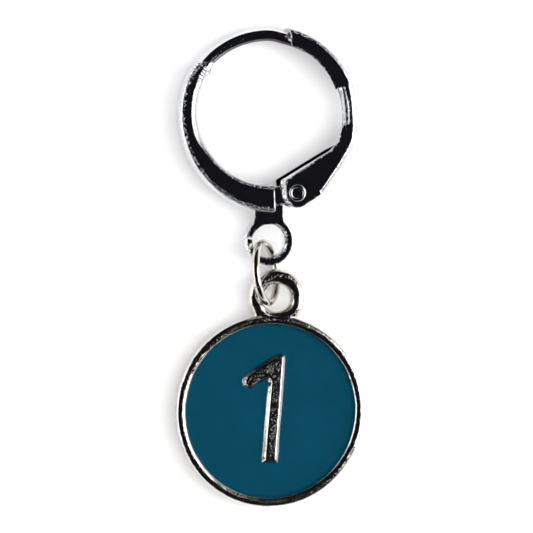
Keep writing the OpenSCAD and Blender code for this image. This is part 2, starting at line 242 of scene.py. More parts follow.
def mark_folds(obj, spread_rounds=6):
    """Stores on each point how strongly the sheet is bent there, spread a little onto the flats.
    The finishes read it to crowd their pits along the folds."""
    mesh = obj.data
    normals, spots = read_points(mesh)
    upward = normals[:, 2]
    # 0 on the flats and on upright walls, 1 in the middle of a fold
    bent = 4 * np.abs(upward) * (1 - np.abs(upward))
    ends = np.empty(len(mesh.edges) * 2, dtype=np.int32)
    mesh.edges.foreach_get("vertices", ends)
    ends = ends.reshape(-1, 2)
    count = np.maximum(np.bincount(ends.ravel(), minlength=len(bent)), 1)
    for _ in range(spread_rounds):
        total = np.bincount(ends[:, 0], bent[ends[:, 1]], len(bent))
        total += np.bincount(ends[:, 1], bent[ends[:, 0]], len(bent))
        bent = (bent + total / count) / 2
    bent = np.clip(bent * FOLD_GAIN, 0, 1)
    store(mesh, "bent", bent)
    height = spots[:, 2] / MM - MID_Z
    # Painted shade: faces that look across the channel at its other side get a dark colour, where the
    # channel is deep.
    across = np.clip(-upward * np.sign(height) * 2 - LOOKS_IN, 0, 1)
    across *= np.clip((PAINTED_SHADE_FROM - spots[:, 1] / MM) / PAINTED_SHADE_OVER, 0, 1)
    across *= np.clip((DEPTH / 2 - SHEET * LIP_SHARE - np.abs(height)) / LIP_EDGE, 0, 1)
    store(mesh, "inside", across)
    return obj


# The dark insides are painted shade.
print("dull insides begin", -PAINTED_SHADE_FROM, "mm below the middle of the hoop")

# %% [markdown]
# ## The arm of the hoop
#
# The left side is narrow where the wire is soldered in and wide at the hinge. Its edges are curled, so that
# each shows a bright line. One channel section is carried along the hoop, and grows on the way. A bent flat
# strip would be quicker, but could not change its width and depth together.

# %% Arm
ARM_TOP, ARM_FOOT = 141, 273.4
TIP_DEPTH = 1.5
ARM_OVAL, OVAL_ANGLE = 0.18, 132
ARM_INNER_R, ARM_UP = HOOP_R - 1.26, 0.53
NOTCH_DEPTH, NOTCH_TURN, NOTCHED = 0.03, 2.1, 15
CUT_ROUND, CUT_TURN = 0.12, 1.1
ARM_GROWS = 95
ARM_FOLD, LIP_CURL = 0.42, 70
LIP_AT_TIP, LIP_GAIN, LIP_LOSS = 0.5, 0.08, 0.3
THIN_FROM, THIN_OVER = 0.5, 0.25
ARM_STEPS = 260


def reach(r, lift, degrees):
    """Distance from the hoop's centre to a circle of radius r whose own centre sits higher by lift."""
    a = math.radians(degrees)
    return lift * math.sin(a) + math.sqrt(r * r - (lift * math.cos(a)) ** 2)


def arm_r(degrees):
    """The arm is not quite round, so its radius changes with the angle."""
    return HOOP_R + ARM_OVAL * math.cos(math.radians(2 * (degrees - OVAL_ANGLE)))


def arm_station(a):
    """One section of the arm, at an angle round the hoop."""
    k = min(1, (a - ARM_TOP) / ARM_GROWS)
    # The pliers left small notches across both edges near the solder.
    fade = max(0, 1 - (a - ARM_TOP) / NOTCHED)
    notch = NOTCH_DEPTH * fade * (1 + math.sin(math.tau * (a - ARM_TOP) / NOTCH_TURN))
    width = arm_r(a) - reach(ARM_INNER_R, ARM_UP, a) - 2 * notch
    depth = TIP_DEPTH + (DEPTH - TIP_DEPTH) * k - notch
    # The cut end is burnished round, so the last stations draw in.
    left = (ARM_FOOT - a) / CUT_TURN
    drawn = CUT_ROUND * (1 - math.sqrt(1 - max(0, 1 - left) ** 2))
    # The curled inner edge is wide beside the solder and thins out where the channel deepens.
    thin = max(0, min(1, (k - THIN_FROM) / THIN_OVER))
    lip = LIP_AT_TIP + LIP_GAIN * min(1, k * 3) - LIP_LOSS * thin * thin * (3 - 2 * thin)
    section = channel_section(width - drawn, depth - 2 * drawn, ARM_FOLD, lip, SHEET - drawn, curl=LIP_CURL)
    return (polar(arm_r(a) - notch - drawn, a), a, section, 0)


bm = bmesh.new()
turns = spread(ARM_TOP, ARM_FOOT - CUT_TURN, ARM_STEPS)
turns += [ARM_FOOT - CUT_TURN * k for k in (0.8, 0.6, 0.4, 0.25, 0.1, 0)]
sweep_channel(bm, [arm_station(a) for a in turns])
arm = mark_folds(smooth(new_object("arm", bm), 60), 2)
print("arm:", len(arm.data.vertices), "points")

# %% [markdown]
# ## Round wire
#
# Wire is drawn through a die, which leaves it round with faint grooves along it. A curve with a round bevel
# would make plain wire. A tube is built ring by ring instead, because each ring can then take the grooves,
# and the end can be rounded off.

# %% Round wire
# Each groove: how deep, how many times round the wire, and where it starts
DIE_LINES = [(0.0035, 9, 1), (0.0025, 17, 2), (0.0016, 31, 0)]
DIE_WANDER, DIE_TURN = 0.1, 0.2


def die_lines(t):
    """The lengthwise grooves that the drawing die leaves, as a change of radius round the wire."""
    return sum(deep * math.sin(times_round * t + start) for deep, times_round, start in DIE_LINES)


def tube(bm, path_r, wire_r, start, end, place, steps, sides, nose=True, lines=0.0):
    """Round wire along an arc. place turns (radius, angle, side) into a point."""
    rings = []
    around = [math.tau * i / sides for i in range(sides)]
    for a in spread(start, end, steps):
        wander = [DIE_WANDER * noise.noise((a * DIE_TURN, t, 0)) for t in around]
        radii = [wire_r + lines * die_lines(t + w) for t, w in zip(around, wander)]
        rings.append([place(path_r + r * math.cos(t), a, r * math.sin(t)) for r, t in zip(radii, around)])
    if nose:
        for t in spread(15, 80, 5):
            small = wire_r * math.cos(math.radians(t))
            ahead = math.degrees(wire_r * math.sin(math.radians(t)) / path_r)
            rings.insert(0, [place(path_r + small * math.cos(s), start - ahead, small * math.sin(s))
                             for s in around])
    skin(bm, rings)


print("grooves in drawn wire: up to", round(sum(deep for deep, _, _ in DIE_LINES), 4), "mm deep")

# %% [markdown]
# ## The ear wire
#
# The ear wire is 0.8 mm wire, bent to the hoop's round and soldered into the arm. It follows an arc, with a
# small bulge where the hand bent it. A perfect arc would do for a new one, but the plating mirrors the
# room, and a line of light that runs quite even looks drawn.

# %% Ear wire
WIRE_R = 0.4
WIRE_PATH = HOOP_R - 0.58
WIRE_TIP, WIRE_ROOT = 62, 152
WIRE_BULGE, BULGE_FROM, BULGE_OVER = 0.11, 76, 14
DARK_SIDE_FROM, DARK_SIDE_OVER = 0.6, 0.15


def along_hoop(r, a, side):
    """The wire was bent by hand, and bulges a little between the cup and the solder."""
    k = max(0, min(1, (a - BULGE_FROM) / BULGE_OVER))
    return (*polar(r + WIRE_BULGE * k * k * (3 - 2 * k), a), MID_Z + side)


def ripple(obj, size, depth, seed=0.0, only=None):
    """Moves the surface in and out by soft noise: size and depth in millimetres."""
    shift = Vector((seed, seed * 1.7, -seed))
    mesh = obj.data
    moves = []
    for v in mesh.vertices:
        p = v.co / (size * MM)
        k = 1.0 if only is None else only(v.co / MM)
        moves.append(v.co + v.normal * (noise.noise(p + shift) * depth * MM * k))
    for v, co in zip(mesh.vertices, moves):
        v.co = co
    return obj


def mark_dark_side(obj):
    """Marks the side of a wire that faces the centre of the hoop, which the finish colours dark.
    The finish reads the mark as it reads the painted shade inside a fold."""
    facing, spots = read_points(obj.data)
    inward = -(facing[:, :2] * spots[:, :2]).sum(axis=1) / np.hypot(spots[:, 0], spots[:, 1])
    dark_side = np.clip((inward - DARK_SIDE_FROM) / DARK_SIDE_OVER, 0, 1)
    store(obj.data, "inside", dark_side)


bm = bmesh.new()
tube(bm, WIRE_PATH, WIRE_R, WIRE_TIP, WIRE_ROOT, along_hoop, 140, 120, lines=1.0)
ear_wire = smooth(new_object("ear_wire_round", bm))
ripple(ear_wire, 1.5, 0.008, 3.0)
mark_dark_side(ear_wire)
print("ear wire:", len(ear_wire.data.vertices), "points")

# %% [markdown]
# ## The solder
#
# The solder is a collar with lumps, where it ran out and froze. A few overlapping balls are fused, which is
# what solder does too. Fusing could be done with exact booleans, but they leave knife edges. Remeshing with
# small voxels and smoothing a little rounds every edge, and the pressed and cast pieces are fused the same
# way, because tumbling and plating round their edges too.

# %% Solder
SOLDER_VOXEL = 0.05
# Each ball: how far past the arm's end, how far outwards, how high, and its radius
SOLDER_LUMPS = [(-0.20, 0.0, 0.0, 0.52), (0.02, 0.0, 0.0, 0.50),
                (0.20, 0.0, 0.02, 0.46), (0.36, 0.01, 0.0, 0.43),
                (-0.10, 0.40, -0.05, 0.30), (0.06, 0.34, -0.12, 0.26), (-0.14, 0.22, 0.20, 0.30),
                (-0.12, -0.28, 0.06, 0.30), (0.05, -0.26, 0.10, 0.26), (-0.30, -0.20, 0.30, 0.24)]


def fuse(name, bm, voxel, rounds):
    """Fuses the overlapping solids in bm and softens the edges. voxel is in millimetres."""
    rough = new_object(name + "_rough", bm)
    remesh = rough.modifiers.new("fuse", "REMESH")
    remesh.mode = "VOXEL"
    remesh.voxel_size = voxel * MM
    soften = rough.modifiers.new("soften", "SMOOTH")
    soften.factor = 0.5
    soften.iterations = rounds
    seen = rough.evaluated_get(bpy.context.evaluated_depsgraph_get())
    mesh = bpy.data.meshes.new_from_object(seen)
    bpy.data.objects.remove(rough)
    obj = bpy.data.objects.new(name, mesh)
    bpy.context.scene.collection.objects.link(obj)
    mesh.polygons.foreach_set("use_smooth", [True] * len(mesh.polygons))
    print(name, "fused:", len(mesh.polygons), "faces")
    return obj


def ball(bm, centre, r):
    """One drop of solder."""
    bmesh.ops.create_icosphere(bm, subdivisions=3, radius=r * MM,
                               matrix=Matrix.Translation(Vector(centre) * MM))


bm = bmesh.new()
solder_at = polar(WIRE_PATH, ARM_TOP)
along = polar(1, ARM_TOP - 90)
out = polar(1, ARM_TOP)
for ahead, outward, lift, r in SOLDER_LUMPS:
    spot = solder_at + along * ahead + out * outward
    ball(bm, (spot.x, spot.y, MID_Z + lift), r)
solder = fuse("solder_bead", bm, SOLDER_VOXEL, 6)

# %% [markdown]
# ## The hanger strip
#
# A stamped strip lies inside the arm. One end is the eye on the rivet, and the other comes out of the arm's
# spine as the flat hanging ring. The ring was bent shut, which leaves a fine slit on its left. The flat
# shapes are plates, with the slit and the hanging hole in the ring's outline, and fusing rounds the edges.
# The eye is left solid here, because the lever's cheeks hide it. It is drilled in the CAD part.

# %% Hanger strip
RING_T, RING_R, HOLE_R = 0.8, 1.6, 1.08
NECK_HALF, NECK_IN, NECK_LAP = 0.96, 0.6, 0.08
EDGE_ROLL = 0.17
FLARE, FLARE_TOP, FLARE_WIDEST, FLARE_FOOT = 0.1, -6.2, -6.75, -6.9
FLARE_LAP = 0.2
SLIT_ANGLE, SLIT_W, SLIT_PROUD, PROUD_OVER = 171.5, 0.1, 0.09, 12
TONGUE_T = DEPTH - 2 * SHEET - 0.1
TONGUE_END, TONGUE_IN, TONGUE_STEP = 250, 4.48, 0.12
RIVET_R = 0.42
EYE_R, EYE_LAP = 0.78, 0.02
STRIP_VOXEL = 0.034


def plate(bm, outline, z0, z1):
    """A flat outline in millimetres, given a thickness."""
    skin(bm, [[(p[0], p[1], z) for p in outline] for z in (z0, z1)])


def open_ring(centre, outer, inner, gap_at, gap_width, proud=0, roll=0.0, steps=90):
    """Outline of a flat ring with a slit. One end stands out from the round by proud.
    roll draws back the edges that face left, which the stamping tool rounded over."""
    half_out = math.degrees(gap_width / 2 / outer)
    half_in = math.degrees(gap_width / 2 / inner)

    def side(r, a, b, way):
        radii = [(t, r + proud * math.exp((t - gap_at - 360) / PROUD_OVER)) for t in spread(a, b, steps)]
        return [polar(r + way * roll * max(0, way * math.cos(math.radians(t))), t, centre)
                for t, r in radii]
    return (side(outer, gap_at + half_out, gap_at + 360 - half_out, -1)
            + side(inner, gap_at + 360 - half_in, gap_at + half_in, 1))


bm = bmesh.new()
flat = (MID_Z - RING_T / 2, MID_Z + RING_T / 2)
thick = (MID_Z - TONGUE_T / 2, MID_Z + TONGUE_T / 2)
layers = [(flat[0], 0), (flat[1] - EDGE_ROLL, 0), (flat[1], EDGE_ROLL)]
skin(bm, [[(*p, z) for p in open_ring(RING_CENTRE, RING_R, HOLE_R, SLIT_ANGLE, SLIT_W, SLIT_PROUD, roll)]
          for z, roll in layers])
neck_top, neck_foot = -HOOP_R + NECK_IN, RING_CENTRE.y + HOLE_R + NECK_LAP
plate(bm, [(-NECK_HALF, neck_top), (-NECK_HALF, neck_foot),
           (NECK_HALF, neck_foot), (NECK_HALF, neck_top)], *flat)
for side in (-1, 1):
    inner_x = side * (NECK_HALF - FLARE_LAP)
    plate(bm, [(side * NECK_HALF, FLARE_TOP), (side * (NECK_HALF + FLARE), FLARE_WIDEST),
               (inner_x, FLARE_FOOT), (inner_x, FLARE_TOP)][::side], *flat)
tongue_out = arm_r(TONGUE_END) - SHEET - RUN_GAP
tongue_in = round_points((0, 0), TONGUE_IN, 270, TONGUE_END, 8)
plate(bm, tongue_in + round_points((0, 0), tongue_out, TONGUE_END, 270, 8), *flat)
plate(bm, tongue_in + round_points((0, 0), tongue_out - TONGUE_STEP, TONGUE_END, 270, 8)
      + [polar(EYE_R - EYE_LAP, a, HINGE) for a in (-110, 120)], *thick)
plate(bm, round_points(HINGE, EYE_R, 0, 350, 48), *thick)
hanger = mark_folds(fuse("hanger", bm, STRIP_VOXEL, 6))

# %% [markdown]
# ## The lever's cup and neck
#
# The right side of the hoop is folded from one sheet: a deep cup at the top that closes over the wire, a
# narrow neck, and wide cheeks at the bottom that hold the rivet. The cup and the neck are one channel
# carried along the spine, as the arm is. A solid block hollowed out would be simpler, but would miss the
# thin bright edges.

# %% Lever channel
CUP_OPENING_R, OPENING_UP = HOOP_R - 1.35, 0.45
CUP_TOP, CUP_FOOT, CHEEK_TOP, BEND = 77.6, 22.3, -4, -14
LEVER_UP = 0.18
WIRE_GAP, WIRE_MEETS = 0.03, 77
LEVER_R = WIRE_PATH + WIRE_R + WIRE_GAP + SHEET - LEVER_UP * math.sin(math.radians(WIRE_MEETS))
NECK_W = 0.74
CUP_TRIM, CUP_BURR, CUP_FOLD, NECK_SWELL = 0.36, 0.1, 0.31, 0.15
CUP_SHOULDER = 0.2
MOUTH_SLANT = 0.3
FOLD, LIP = 0.42, 0.06
SPINE_LEAD = 0.9
FOOT_FROM_HINGE = (1.88, -0.06)
CUP_STEPS, NECK_STEPS, FOOT_STEPS = 40, 26, 30
lever_centre = Vector((0, LEVER_UP))
bend_at = polar(LEVER_R, BEND, lever_centre)
bend_guide = bend_at + SPINE_LEAD * polar(1, BEND - 90)
spine_foot = HINGE + Vector(FOOT_FROM_HINGE)


def spine_at(k):
    """A point of the lever's spine below the bend, for k from 0 to 1."""
    return (1 - k) ** 2 * bend_at + 2 * k * (1 - k) * bend_guide + k * k * spine_foot


def spine_faces(k):
    """The angle that the spine faces at that point."""
    v = (1 - k) * (bend_guide - bend_at) + k * (spine_foot - bend_guide)
    return math.degrees(math.atan2(v.x, -v.y))


def cup_width(a):
    """The cup reaches from the spine to the round opening."""
    p = polar(LEVER_R, a, lever_centre)
    return p.length - reach(CUP_OPENING_R, OPENING_UP, math.degrees(math.atan2(p.y, p.x)))


def lever_station(a, width, fold, slope=0, short=0.0):
    """One section of the cup or the neck."""
    section = channel_section(width, DEPTH, fold, LIP, short=short)
    return (polar(LEVER_R, a, lever_centre), a, section, slope)


# The cup's mouth is cut on the slant, so its first stations lean. Its side on the table is trimmed back.
stations = []
for i, a in enumerate(spread(CUP_TOP, CUP_FOOT, CUP_STEPS)):
    lean = MOUTH_SLANT * (1 - i / CUP_STEPS) ** 3
    stations.append(lever_station(a, cup_width(a) + CUP_BURR, CUP_FOLD, lean, CUP_TRIM + CUP_BURR))
stations += [lever_station(a, NECK_W, FOLD + NECK_SWELL * math.sin(math.pi * i / NECK_STEPS))
             for i, a in enumerate(spread(CUP_FOOT - CUP_SHOULDER, BEND, NECK_STEPS))]
stations += [(spine_at(k), spine_faces(k), channel_section(NECK_W, DEPTH, FOLD, LIP), 0)
             for k in spread(0.03, 1, FOOT_STEPS)]
folded = bmesh.new()
sweep_channel(folded, stations)
print("lever channel:", len(stations), "stations")

# %% [markdown]
# ## The lever's cheeks
#
# Each cheek is a flat plate with a round heel, whose left edge is bevelled and shows as a bright line.
# Plates are enough, because the sheet does not curve there. Fused with the channel, they read as one folded
# sheet.

# %% Lever cheeks
HEEL_R, HEEL_FROM, HEEL_TO = 0.98, -62, -185
HEEL_BEVEL, HEEL_EDGE = 0.32, 0.01
HEEL_CORNER, FOOT_CORNER = (-1.05, 0.8), (0.10, -0.30)
CHEEK_IN = 0.18
OPENING_FOOT, OPENING_TURN, OPENING_SIDE, OPENING_EASE = -31.7, -22.5, -17, 0.06
opening = Vector((0, OPENING_UP))
cheek_back = CUP_OPENING_R + CHEEK_IN


def cheek_outline(heel_back, trim):
    """Outline of a cheek, with its heel moved right by heel_back to bevel the heel's left edge.
    trim is how much the upper end of its opening is cut back."""
    shift = Vector((heel_back, 0))
    cut = cheek_back + trim
    outline = [HINGE + Vector(HEEL_CORNER) + shift, polar(CUP_OPENING_R, OPENING_FOOT, opening),
               polar(cut + OPENING_EASE, OPENING_TURN, opening), polar(cut, OPENING_SIDE, opening),
               polar(reach(cut, OPENING_UP, CHEEK_TOP), CHEEK_TOP)]
    outline += [polar(LEVER_R - FOLD, a, lever_centre) for a in spread(CHEEK_TOP, BEND, 4)]
    outline += [spine_at(k) - polar(FOLD, spine_faces(k)) for k in spread(0.1, 1, 10)]
    outline += [spine_foot - polar(FOLD, spine_faces(1)) + Vector(FOOT_CORNER)]
    heel = round_points(HINGE, HEEL_R, HEEL_FROM, HEEL_TO, 22)
    outline += [p + shift * max(0, (HINGE.x - p.x) / HEEL_R) for p in heel]
    return outline


for face, deep, trim in ((BOTTOM_Z, 1, CUP_TRIM), (TOP_Z, -1, 0)):
    layers = [(0, face + deep * SHEET), (0, face + deep * (SHEET - HEEL_EDGE)), (HEEL_BEVEL, face)]
    skin(folded, [[(*p, z) for p in cheek_outline(b, trim)] for b, z in layers])
lever = fuse("lever_folded", folded, STRIP_VOXEL, 5)

# %% [markdown]
# ## The hole for the rivet
#
# The hole goes straight through both cheeks. It is cut after fusing, with an exact boolean, as a drill
# would. The hole could be left out of the cheeks' outlines, but then the fusing would round its edge away.

# %% Drill the lever
def drill(obj, centre, r):
    """Cuts a round hole straight down through a piece."""
    bm = bmesh.new()
    middle = Matrix.Translation(Vector((centre.x, centre.y, MID_Z)) * MM)
    bmesh.ops.create_cone(bm, cap_ends=True, segments=64, radius1=r * MM, radius2=r * MM,
                          depth=4 * DEPTH * MM, matrix=middle)
    bit = new_object("drill_bit", bm)
    cut = obj.modifiers.new("hole", "BOOLEAN")
    cut.operation = "DIFFERENCE"
    cut.solver = "EXACT"
    cut.object = bit
    drilled = bpy.data.meshes.new_from_object(obj.evaluated_get(bpy.context.evaluated_depsgraph_get()))
    obj.modifiers.clear()
    obj.data = drilled
    bpy.data.objects.remove(bit, do_unlink=True)
    return obj


mark_folds(drill(lever, HINGE, RIVET_R + RUN_GAP))
print("lever drilled for the rivet, radius", round(RIVET_R + RUN_GAP, 3), "mm")

# %% [markdown]
# ## The rivet
#
# The hinge turns on a tubular rivet: a short tube whose ends are rolled over the cheeks. It is turned on a
# lathe in the real world, so its profile is turned here too.

# %% Rivet
HEAD_R, HEAD_H, BORE_R = 0.56, 0.2, 0.34


def lathe(bm, profile, centre, steps):
    """Turns a closed profile of (radius, height) about an upright axis through centre."""
    skin(bm, [[(*polar(r, a, centre), z) for r, z in profile]
              for a in spread(0, 360 - 360 / steps, steps - 1)], loop=True)


half = DEPTH / 2 + RUN_GAP
roll_at, roll_r = (HEAD_R + BORE_R) / 2, (HEAD_R - BORE_R) / 2
rise = HEAD_H - roll_r
rolled = [(roll_at + roll_r * math.cos(t), half + rise + roll_r * math.sin(t))
          for t in spread(math.pi, 0, 12)] + [(HEAD_R, half), (RIVET_R, half)]
profile = [(r, MID_Z + z) for r, z in rolled] + [(r, MID_Z - z) for r, z in reversed(rolled)]
bm = bmesh.new()
lathe(bm, profile, HINGE, 72)
rivet = smooth(new_object("rivet", bm), 60)
print("rivet: heads", 2 * HEAD_R, "mm across, bore", 2 * BORE_R, "mm")

# %% [markdown]
# ## The jump ring
#
# A jump ring is a turn of wire, cut and bent shut. This one stands leaning on the table, and goes through
# the hanging ring and the charm's loop. A torus would be quicker, but has no cut. So a tube goes round a
# tilted circle, with a hair's width left open.

# %% Jump ring
JUMP_R, JUMP_WIRE = 1.95, 0.25
JUMP_LEAN, JUMP_TURN, JUMP_CUT, JUMP_SPAN = 32, 7.8, 200, 358.2
JUMP_OFFSET = (-0.26, -2.03)
jump_z = JUMP_R * math.cos(math.radians(JUMP_LEAN)) + JUMP_WIRE
jump_centre = Vector((RING_CENTRE.x + JUMP_OFFSET[0], RING_CENTRE.y + JUMP_OFFSET[1], jump_z))
turned = Matrix.Rotation(math.radians(JUMP_TURN), 3, "Z")
tilt = turned @ Matrix.Rotation(math.radians(90 - JUMP_LEAN), 3, "Y")


def on_jump_ring(r, a, s):
    """From the ring's own drawing to its place, where it leans on the table."""
    return jump_centre + tilt @ Vector((*polar(r, a), s))


bm = bmesh.new()
tube(bm, JUMP_R, JUMP_WIRE, JUMP_CUT, JUMP_CUT + JUMP_SPAN, on_jump_ring, 140, 24, nose=False)
jump_ring = smooth(new_object("jump_ring_wire", bm))
ripple(jump_ring, 1.2, 0.01, 5.0)
print("jump ring:", 2 * (JUMP_R + JUMP_WIRE), "mm across")

# %% [markdown]
# ## The charm's drawing
#
# The charm is one casting: a disc with a raised rim and a raised figure one, and a loop at the top. It lies
# turned a little, so it is drawn upright and straight, and one helper carries every point of the drawing to
# its place on the table. The finished mesh could be turned instead, but the loop has to stay on the joint
# that it swings about.

# %% Charm drawing
CHARM_R, CHARM_T, RIM_W, FLOOR_T = 6.28, 1.7, 0.63, 0.8
DISC_R, LOOP_GAP = 6.2, 0.3
LOOP_R, LOOP_HOLE_R, LOOP_SINK = 1.9, 0.9, 0.05
ENAMEL_Z = CHARM_T - 0.45
FIGURE_Z = ENAMEL_Z + 0.28
FIGURE_UP = 0.17
CHARM_TURN = 3.6
charm_turn = Matrix.Rotation(math.radians(-CHARM_TURN), 3, "Z")
charm_local = Vector((0, -DISC_R - LOOP_HOLE_R - LOOP_GAP, 0))


def on_charm(x, y, z=0.0):
    """From the disc's own drawing to the table."""
    p = charm_turn @ (charm_local + Vector((x, y, z)))
    return Vector((p.x + LOOP_CENTRE.x, p.y + LOOP_CENTRE.y, p.z))


charm_centre = on_charm(0, 0).xy
print("charm: centre", tuple(round(v, 2) for v in charm_centre), "radius", CHARM_R)

# %% [markdown]
# ## The raised figure
#
# The figure one has sloped sides, so that it leaves its mould. A text object could give a one, but not this
# one with its blunt flag. So its outline is a short list of corners, and the same outline drawn in a little
# is its top.

# %% Figure one
FIGURE = [(x, y + FIGURE_UP) for x, y in (
    (0.70, -3.55), (0.79, 3.24), (0.74, 3.46), (0.52, 3.56), (0.24, 3.50), (-0.17, 3.27), (-1.05, 2.66),
    (-1.78, 2.02), (-1.93, 1.72), (-1.86, 1.44), (-1.62, 1.26), (-1.30, 1.27), (-0.77, 1.70), (-0.27, 1.90),
    (-0.17, 1.71), (-0.30, -3.55))]
# Each step: how far the outline is drawn in, and how high that is
FIGURE_STEPS = [(-0.08, FLOOR_T - 0.1), (-0.08, ENAMEL_Z - 0.04),
                (-0.02, ENAMEL_Z + 0.04), (0.17, FIGURE_Z)]
CORNER_LIMIT = 0.6


def shrunk(outline, by):
    """The outline drawn in by a distance, corner by corner."""
    pts = [Vector(p) for p in outline]
    result = []
    for i, p in enumerate(pts):
        a = (p - pts[i - 1]).normalized()
        b = (pts[(i + 1) % len(pts)] - p).normalized()
        n = Vector((a.y, -a.x)) + Vector((b.y, -b.x))
        n = n / max(n.length_squared / 2, CORNER_LIMIT)
        result.append(p - n * by)
    return result


def figure_ring(by, z):
    """The figure's outline on the table, drawn in and at a height."""
    return [on_charm(p.x, p.y, z) for p in shrunk(FIGURE, by)]


print("figure:", len(FIGURE), "corners, top", round(FIGURE_Z, 2), "mm up")

# %% [markdown]
# ## The casting
#
# The disc's edges are soft and its rim is uneven, because it came out of a rubber mould. The disc and the
# loop are turned, and fusing joins them and the figure with the fillets that a casting has. Ripples of
# three sizes then make the metal uneven, and a stronger one goes over the loop alone.

# %% Charm casting
CHARM_DRAFT, BACK_BEVEL = 0.3, 0.12
SIDE_IN, SIDE_TOP = 0.06, 0.8
RIM_CREST, RIM_FOOT = 0.24, 0.05
CAST_VOXEL = 0.05
BACK_FLAT, LOOP_REACH = 0.3, 1.2


def turned_solid(bm, profile, centre, steps):
    """Turns an open profile that starts and ends on the axis."""
    inner = profile[1:-1]
    rings = [[bm.verts.new(Vector((*polar(r, a, centre), z)) * MM) for r, z in inner]
             for a in spread(0, 360 - 360 / steps, steps - 1)]
    tip = bm.verts.new(Vector((*centre, profile[0][1])) * MM)
    end = bm.verts.new(Vector((*centre, profile[-1][1])) * MM)
    for a, b in zip(rings, rings[1:] + rings[:1]):
        bm.faces.new((tip, a[0], b[0]))
        bm.faces.new((end, b[-1], a[-1]))
        for i in range(len(inner) - 1):
            bm.faces.new((a[i], a[i + 1], b[i + 1], b[i]))


def uneven(p):
    """The flat back stays flat."""
    return 1.0 if p.z > BACK_FLAT else 0.0


def loop_alone(p):
    """The cast loop is rougher than the disc."""
    return 1.0 if p.y > LOOP_CENTRE.y - LOOP_REACH else 0.0


rim_half = RIM_W / 2
profile = [(0, 0), (CHARM_R - CHARM_DRAFT - BACK_BEVEL, 0), (CHARM_R - CHARM_DRAFT, BACK_BEVEL),
           (CHARM_R - SIDE_IN, SIDE_TOP)]
profile += [(CHARM_R - rim_half + rim_half * math.cos(t), CHARM_T - RIM_CREST + RIM_CREST * math.sin(t))
            for t in spread(0, math.pi, 14)]
profile += [(CHARM_R - RIM_W - RIM_FOOT, FLOOR_T), (0, FLOOR_T)]
bm = bmesh.new()
turned_solid(bm, profile, charm_centre, 200)
loop_half = (LOOP_R - LOOP_HOLE_R) / 2
loop_z = CHARM_T - loop_half - LOOP_SINK
lathe(bm, [(LOOP_HOLE_R + loop_half + loop_half * math.cos(t), loop_z + loop_half * math.sin(t))
           for t in spread(0, math.tau * 23 / 24, 23)], LOOP_CENTRE, 90)
skin(bm, [figure_ring(by, z) for by, z in FIGURE_STEPS])
charm = fuse("charm_cast", bm, CAST_VOXEL, 4)
for size, depth, seed in ((1.4, 0.025, 4.0), (0.5, 0.012, 2.0), (0.2, 0.005, 7.0)):
    ripple(charm, size, depth, seed, uneven)
ripple(charm, 0.7, 0.05, 9.0, loop_alone)

# %% [markdown]
# ## The enamel
#
# Soft enamel is poured into the tray between rim and figure. It shrinks as it cures, and stays drawn up at
# the metal. A flat disc would do for the colour, but the drawn-up edge is what catches the light. So the
# sheet is built from rings, and lifted a little where it meets the rim and the figure.

# %% Enamel
ENAMEL_LAP, ENAMEL_SINK = 0.06, 0.03
ENAMEL_R = CHARM_R - RIM_W + ENAMEL_LAP
RISE, RISE_OVER = 0.035, 0.20
WIDE_STEP, FINE_FROM, FINE_STEPS = 0.12, 4.8, 22
ENAMEL_STEPS = 220


def distance_to_figure(x, y):
    """How far a point of the drawing is from the figure's outline."""
    best = 9.0
    p = Vector((x, y))
    for i, a in enumerate(FIGURE):
        a, b = Vector(a), Vector(FIGURE[(i + 1) % len(FIGURE)])
        k = max(0, min(1, (p - a).dot(b - a) / (b - a).length_squared))
        best = min(best, (p - a - (b - a) * k).length)
    return best


enamel_radii = [WIDE_STEP * i for i in range(1, round(FINE_FROM / WIDE_STEP))]
enamel_radii += spread(FINE_FROM, ENAMEL_R, FINE_STEPS)
enamel_top = ENAMEL_Z - ENAMEL_SINK
bm = bmesh.new()
rings = []
for r in enamel_radii:
    ring = []
    for a in spread(0, 360 - 360 / ENAMEL_STEPS, ENAMEL_STEPS - 1):
        p = polar(r, a)
        near = min(ENAMEL_R - r, distance_to_figure(p.x, p.y))
        lift = RISE * math.exp(-near / RISE_OVER)
        ring.append(bm.verts.new(on_charm(p.x, p.y, enamel_top + lift) * MM))
    rings.append(ring)
below = [bm.verts.new(Vector((v.co.x, v.co.y, FLOOR_T * MM))) for v in rings[-1]]
rings.append(below)
centre_top = bm.verts.new(on_charm(0, 0, enamel_top) * MM)
for i in range(ENAMEL_STEPS):
    j = (i + 1) % ENAMEL_STEPS
    bm.faces.new((centre_top, rings[0][i], rings[0][j]))
    for a, b in zip(rings, rings[1:]):
        bm.faces.new((a[i], b[i], b[j], a[j]))
bm.faces.new(below)
enamel = smooth(new_object("enamel_fill", bm), 60)
print("enamel:", round(2 * ENAMEL_R, 2), "mm across")

# %% [markdown]
# ## Finishes from nodes
#
# Six finishes cover the marker. Each could be a picture laid over the piece, but a picture has to be
# unwrapped and stretches at the bends. So each is a node material that works its grain out from the place
# on the piece. The grain is measured in real millimetres, and so keeps its size on every piece.

# %% Node helpers
def node_set(name):
    """A new material with its nodes, its links and its main shader."""
    material = bpy.data.materials.new(name)
    material.use_nodes = True
    nodes = material.node_tree.nodes
    return material, nodes, material.node_tree.links, nodes["Principled BSDF"]


def millimetres(nodes, links):
    """Coordinates that count millimetres on the piece."""
    place = nodes.new("ShaderNodeTexCoord")
    mapping = nodes.new("ShaderNodeMapping")
    mapping.inputs["Scale"].default_value = [1 / MM] * 3
    links.new(place.outputs["Object"], mapping.inputs["Vector"])
    return mapping.outputs["Vector"]


def noise_at(nodes, links, where, per_mm, detail=3.0, rough=0.5):
    """Soft noise, whose blotches are counted to the millimetre."""
    tex = nodes.new("ShaderNodeTexNoise")
    tex.inputs["Scale"].default_value = per_mm
    tex.inputs["Detail"].default_value = detail
    tex.inputs["Roughness"].default_value = rough
    links.new(where, tex.inputs["Vector"])
    return tex.outputs["Fac"]


